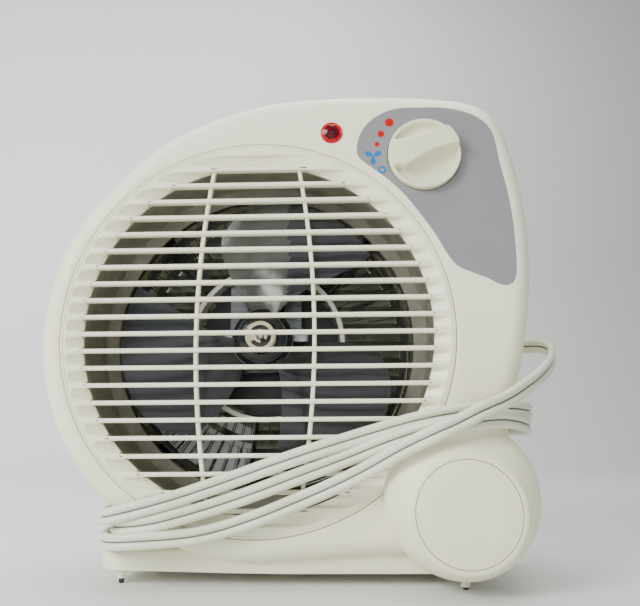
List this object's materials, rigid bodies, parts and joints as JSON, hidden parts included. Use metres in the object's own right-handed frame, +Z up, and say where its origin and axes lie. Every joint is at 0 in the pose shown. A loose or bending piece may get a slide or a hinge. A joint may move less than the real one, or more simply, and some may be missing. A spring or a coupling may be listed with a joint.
{
  "type": "fan heater",
  "caption": "Portable electric fan heater with a round louvred front, corner control panel with knob, low base bar with side drum, and a flat cord wound round it.",
  "frame": {"origin": "on the floor, under the middle of the heater's box without its cord", "axes": "+Z up, the air outlet grille faces -Y, the control panel is towards +X"},
  "size_m": [0.2858, 0.164, 0.2642],
  "materials": {
    "cream_plastic": "fine satin moulding",
    "cream_gloss": "polished moulding",
    "panel_sheet": "printed grey overlay",
    "smoke_plastic": "smoke tinted, glossy",
    "red_lens": "red translucent lens",
    "duct_metal": "grey-brown, dull",
    "steel": "zinc plated, satin",
    "copper": "enamelled copper winding",
    "brass": "turned",
    "mica": "pressed mica board, dull",
    "nichrome": "oxidised resistance wire",
    "glass": "clear",
    "black_plastic": "satin",
    "rubber": "dull",
    "cord_vinyl": "pale grey vinyl"
  },
  "bodies": {
    "root": {"front_housing": "cream_plastic", "rear_housing": "cream_plastic", "front_grille": "cream_plastic", "rear_grille": "cream_plastic", "base": "cream_plastic", "base_cover": "cream_plastic", "drum": "cream_plastic", "drum_cap": "cream_plastic", "control_panel": "panel_sheet", "front_bush": "brass", "rear_bush": "brass", "plug_blade_left": "brass", "plug_blade_right": "brass", "rotary_switch": "black_plastic", "thermal_cutout": "black_plastic", "terminal_block": "black_plastic", "tip_switch": "black_plastic", "lamp_lens": "red_lens", "neon_lamp": "glass", "fan_duct": "duct_metal", "motor_stator": "steel", "front_bearing_bracket": "steel", "rear_bearing_bracket": "steel", "motor_screw_left": "steel", "motor_screw_right": "steel", "motor_mount": "steel", "thermal_fuse": "steel", "housing_screw_1": "steel", "housing_screw_2": "steel", "housing_screw_3": "steel", "housing_screw_4": "steel", "motor_coil": "copper", "mica_frame": "mica", "heating_wire_inner": "nichrome", "heating_wire_outer": "nichrome", "foot_front_left": "rubber", "foot_front_right": "rubber", "foot_rear_left": "rubber", "foot_rear_right": "rubber", "strain_relief": "cord_vinyl", "cord": "cord_vinyl", "plug": "cord_vinyl"},
    "knob": {"selector_knob": "cream_gloss", "switch_shaft": "brass"},
    "fan": {"fan": "smoke_plastic", "fan_nut": "cream_gloss", "motor_shaft": "steel", "motor_rotor": "steel"},
    "plunger": {"tip_plunger": "black_plastic"}
  },
  "joints": [
    {"name": "knob_turn", "type": "hinge", "parent": "root", "child": "knob", "pos_m": [0.07636, -0.0455, 0.226], "axis": [0, 1, 0], "range_deg": [0, 66]},
    {"name": "fan_spin", "type": "hinge", "parent": "root", "child": "fan", "pos_m": [-0.01484, 0, 0.129], "axis": [0, 1, 0], "continuous": true},
    {"name": "tip_switch_slide", "type": "slide", "parent": "root", "child": "plunger", "axis": [0, 0, 1], "range_m": [-0.0028, 0], "stiffness_N_per_m": 150, "springref_m": -0.006}
  ]
}
